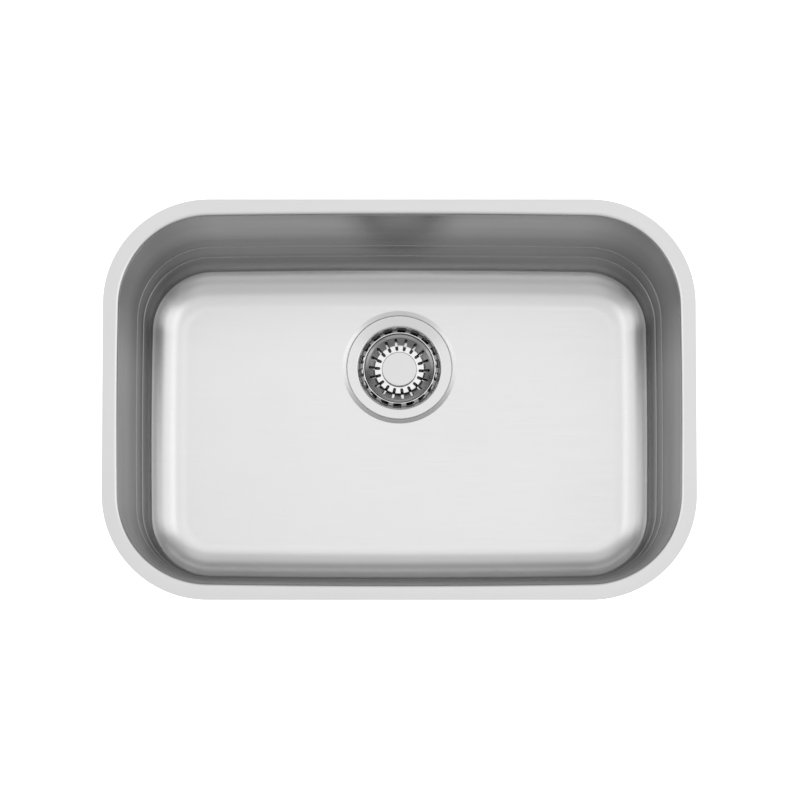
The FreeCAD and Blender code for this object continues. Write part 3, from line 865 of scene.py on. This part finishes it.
@dataclass
class Bowl:
    """The pressed bowl: trimmed flange, walls with faint draw lines, floor and outlet recess."""

    opening_length: float = 0.600
    opening_width: float = 0.400
    corner: float = 0.097
    long_bow: float = 0.0017
    short_bow: float = 0.0009
    flange: float = 0.016
    gauge: float = 0.001
    depth: float = 0.185
    slope: float = 0.1881
    rim_round: float = 0.0048
    floor_round: float = 0.0456
    crease: float = 58.0
    foot_round: float = 0.008
    recess_depth: float = 0.003
    recess_mouth: float = 0.0622
    recess_flat: float = 0.0556
    recess_round: float = 0.0016
    outlet_hole: float = 0.0455
    draw_lines: tuple[Pair, ...] = ((0.091, 0.0004), (0.119, 0.0005))
    hem: float = 0.0008
    weld: float = 0.0001
    side_steps: int = 24
    corner_steps: int = 40
    rim_steps: int = 10
    foot_steps: int = 10
    floor_steps: int = 26
    recess_steps: int = 6

    def run_wall(self, pen: SectionPen, depth: float, off: float) -> None:
        """Draw the wall down to a depth.

        Args:
            pen: the pen that draws the section.
            depth: the depth below the flange.
            off: how far the draw lines above have stepped the wall inwards.
        """
        pen.run(self.opening_length / 2 - depth * self.slope - off, -depth)

    def draw_section(self, mesh: Mesh) -> SectionPen:
        """Draw the sheet's upper face from the flange's edge to the floor, at the right-hand end.

        Args:
            mesh: the mesh to draw in.

        Returns:
            The pen that drew it.
        """
        side = self.opening_length / 2
        turn = math.atan2(1.0, self.slope)
        bend = side + self.rim_round * math.tan(turn / 2)
        pen = SectionPen(mesh, side + self.flange, 0.0)
        pen.run(bend, 0.0).turn(bend, -self.rim_round, turn, self.rim_steps)
        off = 0.0
        self.run_wall(pen, 2 * self.rim_round, off)
        for depth, step in self.draw_lines:
            self.run_wall(pen, depth - self.hem, off)
            self.run_wall(pen, depth, off)
            off += step
            pen.run(side - depth * self.slope - off, -depth - step)
            self.run_wall(pen, depth + step + self.hem, off)
        crease = math.radians(self.crease)
        spread = self.floor_round - self.foot_round
        rise = self.foot_round * math.cos(turn)
        foot = self.depth - self.floor_round + spread * math.cos(crease) + rise
        self.run_wall(pen, foot, off)
        middle = Vector((pen.tip.co.x - self.foot_round * math.sin(turn), rise - foot))
        pen.turn(middle.x, middle.y, crease - turn, self.foot_steps)
        inner = middle.x - spread * math.sin(crease)
        return pen.turn(inner, self.floor_round - self.depth, -crease, self.floor_steps)

    def stations(self) -> list[tuple[Vector, float, int]]:
        """Lay out the bowed sides and the corners that touch them, anticlockwise from the right.

        Returns:
            The centre, the angle and the rows of faces of each arc.
        """
        half_length, half_width = self.opening_length / 2, self.opening_width / 2
        flat_length, flat_width = half_length - self.corner, half_width - self.corner
        long_radius = (flat_length**2 + self.long_bow**2) / (2 * self.long_bow)
        short_radius = (flat_width**2 + self.short_bow**2) / (2 * self.short_bow)
        long_centre, short_centre = long_radius - half_width, short_radius - half_length
        long_reach, short_reach = long_radius - self.corner, short_radius - self.corner
        span = math.hypot(long_centre, short_centre)
        along = (short_reach**2 - long_reach**2 + span**2) / (2 * span)
        aside = math.sqrt(short_reach**2 - along**2)
        left = Vector((-short_centre, 0.0, 0.0))
        front = Vector((0.0, -long_centre, 0.0))
        ahead = (front - left) / span
        spot = left + ahead * along + Vector((-ahead.y, ahead.x, 0.0)) * aside
        mirrored = Vector((-spot.x, spot.y, 0.0))
        side_turn = math.atan2(spot.y, spot.x + short_centre)
        long_turn = math.pi - 2 * math.atan2(spot.y + long_centre, spot.x)
        corner_turn = QUARTER - side_turn - long_turn / 2
        half_side = (left, side_turn, self.side_steps // 2)
        return [
            half_side,
            (spot, corner_turn, self.corner_steps),
            (front, long_turn, self.side_steps),
            (mirrored, corner_turn, self.corner_steps),
            (-left, 2 * side_turn, self.side_steps),
            (-spot, corner_turn, self.corner_steps),
            (-front, long_turn, self.side_steps),
            (-mirrored, corner_turn, self.corner_steps),
            half_side,
        ]

    def carry_round(self, mesh: Mesh, section: list) -> None:
        """Carry the section once round the opening.

        Args:
            mesh: the mesh to grow.
            section: the section at the middle of the right-hand side.
        """
        for centre, angle, steps in self.stations():
            spun = bmesh.ops.spin(
                mesh, geom=section, cent=centre, axis=UP, angle=angle, steps=steps
            )
            section = spun["geom_last"]
        bmesh.ops.remove_doubles(mesh, verts=mesh.verts, dist=self.weld)

    def trim_flange(self, mesh: Mesh) -> None:
        """Move the flange's outer edge onto the straight trim line with its round corners.

        Args:
            mesh: the bowl's mesh.
        """
        radius = self.corner + self.flange
        reach = Vector(
            (self.opening_length / 2 + self.flange, self.opening_width / 2 + self.flange)
        )
        centre = reach - Vector((radius, radius))
        for vert in mesh.verts:
            if not vert.is_boundary or vert.co.z < -self.gauge:
                continue
            spot = Vector((abs(vert.co.x), abs(vert.co.y)))
            if spot.x > centre.x and spot.y > centre.y:
                spot = centre + (spot - centre).normalized() * radius
            elif spot.y > centre.y:
                spot.y = reach.y
            else:
                spot.x = reach.x
            vert.co.x = math.copysign(spot.x, vert.co.x)
            vert.co.y = math.copysign(spot.y, vert.co.y)

    def press_recess(self, mesh: Mesh) -> None:
        """Press the outlet recess and fill the floor between it and the walls.

        Args:
            mesh: the bowl's mesh.
        """
        rows = len(open_edges(mesh, -self.depth))
        low = -self.depth - self.recess_depth
        fall = math.atan2(self.recess_depth, self.recess_mouth - self.recess_flat)
        reach = self.recess_round * math.tan(fall / 2)
        mouth = self.recess_mouth + reach
        pen = SectionPen(mesh, mouth, -self.depth)
        pen.turn(mouth, -self.depth - self.recess_round, fall, self.recess_steps)
        pen.run(self.recess_flat + reach * math.cos(fall), low + reach * math.sin(fall))
        pen.turn(self.recess_flat - reach, low + self.recess_round, -fall, self.recess_steps)
        pen.run(self.outlet_hole, low)
        bmesh.ops.translate(mesh, verts=pen.verts, vec=OUTLET)
        revolve(mesh, pen.section(), OUTLET, rows)
        bmesh.ops.bridge_loops(mesh, edges=open_edges(mesh, -self.depth))

    def build(self) -> Piece:
        """Model the bowl.

        Returns:
            The bowl's object.
        """
        mesh = bmesh.new()
        pen = self.draw_section(mesh)
        self.carry_round(mesh, pen.section())
        self.trim_flange(mesh)
        self.press_recess(mesh)
        thicken(mesh, self.gauge)
        piece = finish_mesh(mesh, "bowl_sheet")
        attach(piece, BODY)
        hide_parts("bowl")
        return piece

    def dress(self, piece: Piece, wardrobe: Wardrobe) -> None:
        """Finish the bowl in satin steel."""
        wardrobe.dress(piece, Slot.BOWL_STEEL)


@dataclass
class WasteCup:
    """The waste's pressed cup: dished flange, round shoulder, holed floor and the screw's well."""

    level: float = -0.186
    gauge: float = 0.0008
    flange_radius: float = 0.0572
    flange_turn: float = 0.0013
    edge_round: float = 0.0012
    rise: float = 0.0005
    dish: float = 8.5
    hem: float = 0.0004
    cup_radius: float = 0.0436
    shoulder: float = 0.0042
    cup_depth: float = 0.022
    foot_round: float = 0.005
    floor_reach: float = 0.0285
    well_radius: float = 0.0115
    well_depth: float = 0.005
    well_round: float = 0.0012
    screw_hole: float = 0.0053
    hole_count: int = 8
    hole_radius: float = 0.005
    hole_circle: float = 0.0195
    steps: int = 128
    edge_steps: int = 8
    shoulder_steps: int = 14
    foot_steps: int = 10
    well_steps: int = 6
    hole_steps: int = 32

    @property
    def floor(self) -> float:
        """The level of the cup's floor."""
        return self.level - self.cup_depth

    def draw_rim(self, mesh: Mesh) -> SectionPen:
        """Draw the flange, the shoulder, the wall and the outer ring of the floor.

        Args:
            mesh: the mesh to draw in.

        Returns:
            The pen that drew them.
        """
        dish = math.radians(self.dish)
        lip = self.flange_radius - self.edge_round
        crown = self.level + self.rise - self.edge_round
        pen = SectionPen(mesh, self.flange_radius, self.level - self.flange_turn)
        pen.run(self.flange_radius, crown).turn(lip, crown, QUARTER + dish, self.edge_steps)
        bend = self.cup_radius + self.shoulder
        across = bend - self.shoulder * math.sin(dish)
        outer, fall = pen.tip.co.copy(), math.tan(dish)
        for place in (outer.x - self.hem, across + self.hem, across):
            pen.run(place, outer.z - (outer.x - place) * fall)
        drop = pen.tip.co.z - self.shoulder * math.cos(dish)
        pen.turn(bend, drop, QUARTER - dish, self.shoulder_steps)
        foot = self.floor + self.foot_round
        for height in (pen.tip.co.z - self.hem, foot + self.hem, foot):
            pen.run(self.cup_radius, height)
        pen.turn(self.cup_radius - self.foot_round, foot, -QUARTER, self.foot_steps)
        return pen.run(self.floor_reach, self.floor)

    def draw_well(self, mesh: Mesh) -> SectionPen:
        """Draw the well that takes the screw's head.

        Args:
            mesh: the mesh to draw in.

        Returns:
            The pen that drew it.
        """
        mouth = self.well_radius + self.well_round
        pen = SectionPen(mesh, mouth, self.floor)
        pen.turn(mouth, self.floor - self.well_round, QUARTER, self.well_steps)
        low = self.floor - self.well_depth + self.well_round
        pen.run(self.well_radius, low)
        pen.turn(self.well_radius - self.well_round, low, -QUARTER, self.well_steps)
        return pen.run(self.screw_hole, self.floor - self.well_depth)

    def fill_floor(self, mesh: Mesh) -> None:
        """Fill the floor between wall and well, round the outlet holes.

        Args:
            mesh: the mesh to grow.
        """
        for number in range(self.hole_count):
            turn = Matrix.Rotation(math.tau * number / self.hole_count, 4, "Z")
            place = turn @ Matrix.Translation((self.hole_circle, 0.0, self.floor))
            bmesh.ops.create_circle(
                mesh, segments=self.hole_steps, radius=self.hole_radius, matrix=place
            )
        rings = open_edges(mesh, self.floor)
        bmesh.ops.triangle_fill(mesh, edges=rings, use_beauty=True, normal=UP)

    def build(self) -> Piece:
        """Model the cup.

        Returns:
            The cup's object.
        """
        mesh = bmesh.new()
        for pen in (self.draw_rim(mesh), self.draw_well(mesh)):
            revolve(mesh, pen.section(), ORIGIN, self.steps)
        self.fill_floor(mesh)
        thicken(mesh, self.gauge)
        bmesh.ops.translate(mesh, verts=mesh.verts, vec=OUTLET)
        piece = finish_mesh(mesh, "waste_cup")
        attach(piece, BODY)
        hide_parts("waste_flange")
        return piece

    def dress(self, piece: Piece, wardrobe: Wardrobe) -> None:
        """Finish the cup in bright steel."""
        wardrobe.dress(piece, Slot.WASTE_STEEL)


@dataclass
class Spigot:
    """The outlet spigot of the waste, with the pipe thread that takes a trap's nut.

    The ridge's half widths at its foot and its top are shares of the pitch.
    """

    top: float = -0.229
    length: float = 0.030
    bore: float = 0.0199
    crest: float = 0.0239
    thread_depth: float = 0.0014
    pitch: float = 0.00231
    ridge_foot: float = 0.44
    ridge_top: float = 0.08
    bite: float = 0.0004
    collar: float = 0.004
    lead: float = 0.0032
    chamfer: float = 0.0008
    sharp: float = 35.0
    weld: float = 0.00001
    turns: int = 9
    steps: int = 72

    @property
    def root(self) -> float:
        """The radius at the foot of the thread."""
        return self.crest - self.thread_depth

    @property
    def bottom(self) -> float:
        """The level of the lower end."""
        return self.top - self.length

    def draw_tube(self, mesh: Mesh) -> None:
        """Spin the tube that the thread stands on.

        Args:
            mesh: the mesh to draw in.
        """
        neck = self.top - self.collar
        pen = SectionPen(mesh, self.bore, self.top)
        pen.run(self.crest, self.top).run(self.crest, neck)
        pen.run(self.root, neck - self.thread_depth).run(self.root, self.bottom + self.chamfer)
        pen.run(self.root - self.chamfer, self.bottom).run(self.bore, self.bottom)
        pen.run(self.bore, self.top)
        revolve(mesh, pen.section(), ORIGIN, self.steps)

    def wind_thread(self, mesh: Mesh) -> None:
        """Wind the thread's ridge round the tube and close its ends.

        Args:
            mesh: the mesh to draw in.
        """
        inside = self.root - self.bite
        low = self.bottom + self.lead
        foot, top = self.ridge_foot * self.pitch, self.ridge_top * self.pitch
        pen = SectionPen(mesh, inside, low - foot)
        pen.run(self.crest, low - top).run(self.crest, low + top).run(inside, low + foot)
        bmesh.ops.contextual_create(mesh, geom=[pen.verts[0], pen.tip])
        wound = bmesh.ops.spin(
            mesh,
            geom=pen.section(),
            cent=ORIGIN,
            axis=UP,
            dvec=UP * (self.pitch / self.steps),
            angle=math.tau * self.turns,
            steps=self.steps * self.turns,
        )
        for end in (pen.verts, only_verts(wound["geom_last"])):
            bmesh.ops.contextual_create(mesh, geom=end)

    def build(self) -> Piece:
        """Model the spigot.

        Returns:
            The spigot's object.
        """
        mesh = bmesh.new()
        self.draw_tube(mesh)
        self.wind_thread(mesh)
        bmesh.ops.remove_doubles(mesh, verts=mesh.verts, dist=self.weld)
        bmesh.ops.translate(mesh, verts=mesh.verts, vec=OUTLET)
        bmesh.ops.recalc_face_normals(mesh, faces=mesh.faces)
        piece = finish_mesh(mesh, "threaded_spigot", self.sharp)
        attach(piece, BODY)
        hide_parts("outlet_spigot")
        return piece

    def dress(self, piece: Piece, wardrobe: Wardrobe) -> None:
        """Finish the spigot in white plastic."""
        wardrobe.dress(piece, Slot.WHITE_PLASTIC)


@dataclass(frozen=True)
class Softbox:
    """A flat lamp that faces the middle of the sink."""

    name: str
    place: Point
    size: Pair
    glow: float

    def hang(self) -> None:
        """Hang the lamp, as bright as its glow says wherever it is seen."""
        lamp = bpy.data.lights.new(self.name, "AREA")
        lamp.shape = "RECTANGLE"
        lamp.size, lamp.size_y = self.size
        lamp.energy = self.glow * math.pi * lamp.size * lamp.size_y
        holder = bpy.data.objects.new(self.name, lamp)
        holder.location = self.place
        holder.rotation_euler = Vector(self.place).to_track_quat("Z", "Y").to_euler()
        bpy.context.scene.collection.objects.link(holder)


@dataclass
class Studio:
    """The floor, the lights and the camera."""

    floor_size: float = 12.0
    floor_gap: float = 0.003
    floor_tone: float = 0.85
    floor_roughness: float = 0.9
    floor_glow: float = 0.8
    camera_distance: float = 8.5
    camera_lean: float = 9.6
    sensor: float = 36.0
    view_end: float = 100.0
    pixels_per_metre: float = 940.5
    frame_pixels: float = 800.0
    aim: Point = (0.0007, -0.0015, 0.0)
    softboxes: tuple[Softbox, ...] = (
        Softbox("overhead", (0.0, 0.0, 2.6), (5.0, 3.8), 0.48),
        Softbox("middle", (0.0, 0.95, 2.5), (2.2, 1.8), 0.27),
        Softbox("sheen", (0.25, 0.30, 2.5), (0.6, 0.5), 0.20),
        Softbox("right_panel", (2.5, 0.1, 1.65), (2.8, 2.6), 0.85),
        Softbox("left_panel", (-2.5, 0.2, 1.65), (2.8, 2.6), 0.75),
        Softbox("rear_panel", (0.0, 2.4, 1.5), (2.4, 1.4), 0.30),
        Softbox("front_panel", (0.0, -2.4, 1.6), (2.6, 1.4), 0.22),
    )
    world_glow: float = 0.65
    horizon_glow: float = 0.05
    sky_height: float = 0.45

    def lay_floor(self) -> None:
        """Lay the pale floor, which stays white to the camera and keeps its shadow."""
        mesh = bmesh.new()
        bmesh.ops.create_grid(mesh, x_segments=2, y_segments=2, size=self.floor_size / 2)
        low = CAD_BOX[0][2] - self.floor_gap
        bmesh.ops.translate(mesh, verts=mesh.verts, vec=UP * low)
        floor = finish_mesh(mesh, "floor")
        bench = FinishBench("pale_floor")
        path = bench.node("LightPath")
        seen = bench.calculate(
            "MAXIMUM", path.outputs["Is Camera Ray"], path.outputs["Is Glossy Ray"]
        )
        bench.dress({
            "Base Color": (*grey(self.floor_tone), 1.0),
            "Roughness": self.floor_roughness,
            "Specular IOR Level": 0.0,
            "Emission Color": WHITE,
            "Emission Strength": bench.calculate("MULTIPLY", seen, self.floor_glow),
        })
        floor.data.materials.append(bench.material)

    def light(self) -> None:
        """Hang the softboxes and set the plain world."""
        for softbox in self.softboxes:
            softbox.hang()
        world = bpy.data.worlds.new("studio")
        bpy.context.scene.world = world
        world.use_nodes = True
        bench = NodeBench(world.node_tree)
        height = bench.along(Axis.HEIGHT, bench.node("TexCoord").outputs["Generated"])
        sky = bench.spread(height, self.horizon_glow, self.world_glow, (0.0, self.sky_height))
        seen = bench.node("LightPath").outputs["Is Camera Ray"]
        background = bench.tree.nodes["Background"]
        bench.feed(background, "Strength", bench.mix(seen, sky, 1.0))
        bench.feed(background, "Color", WHITE)

    def place_camera(self) -> None:
        """Set up the long-lens camera, leaning a little towards the front."""
        data = bpy.data.cameras.new("camera")
        data.sensor_width = self.sensor
        reach = self.pixels_per_metre * self.camera_distance / self.frame_pixels
        data.lens = self.sensor * reach
        data.clip_end = self.view_end
        camera = bpy.data.objects.new("camera", data)
        lean = Matrix.Rotation(math.radians(self.camera_lean), 4, "X")
        back = Matrix.Translation(UP * self.camera_distance)
        camera.matrix_world = Matrix.Translation(self.aim) @ lean @ back
        bpy.context.scene.collection.objects.link(camera)
        bpy.context.scene.camera = camera

    def build(self) -> None:
        """Set the whole stage."""
        self.lay_floor()
        self.light()
        self.place_camera()
        bpy.context.scene.view_settings.view_transform = "Standard"


def main() -> None:
    """Build the stage and every piece, and report each one."""
    logging.basicConfig(level=logging.INFO, format="%(name)s: %(message)s")
    wardrobe = Wardrobe()
    wardrobe.dress_packed()
    LOG.info("dressed %d packed nodes", len(frame["nodes"]))
    for maker in (Bowl(), WasteCup(), Spigot()):
        piece = maker.build()
        maker.dress(piece, wardrobe)
        LOG.info("built %s with %d faces", piece.name, len(piece.data.polygons))
    Studio().build()


if __name__ == "__main__":
    main()
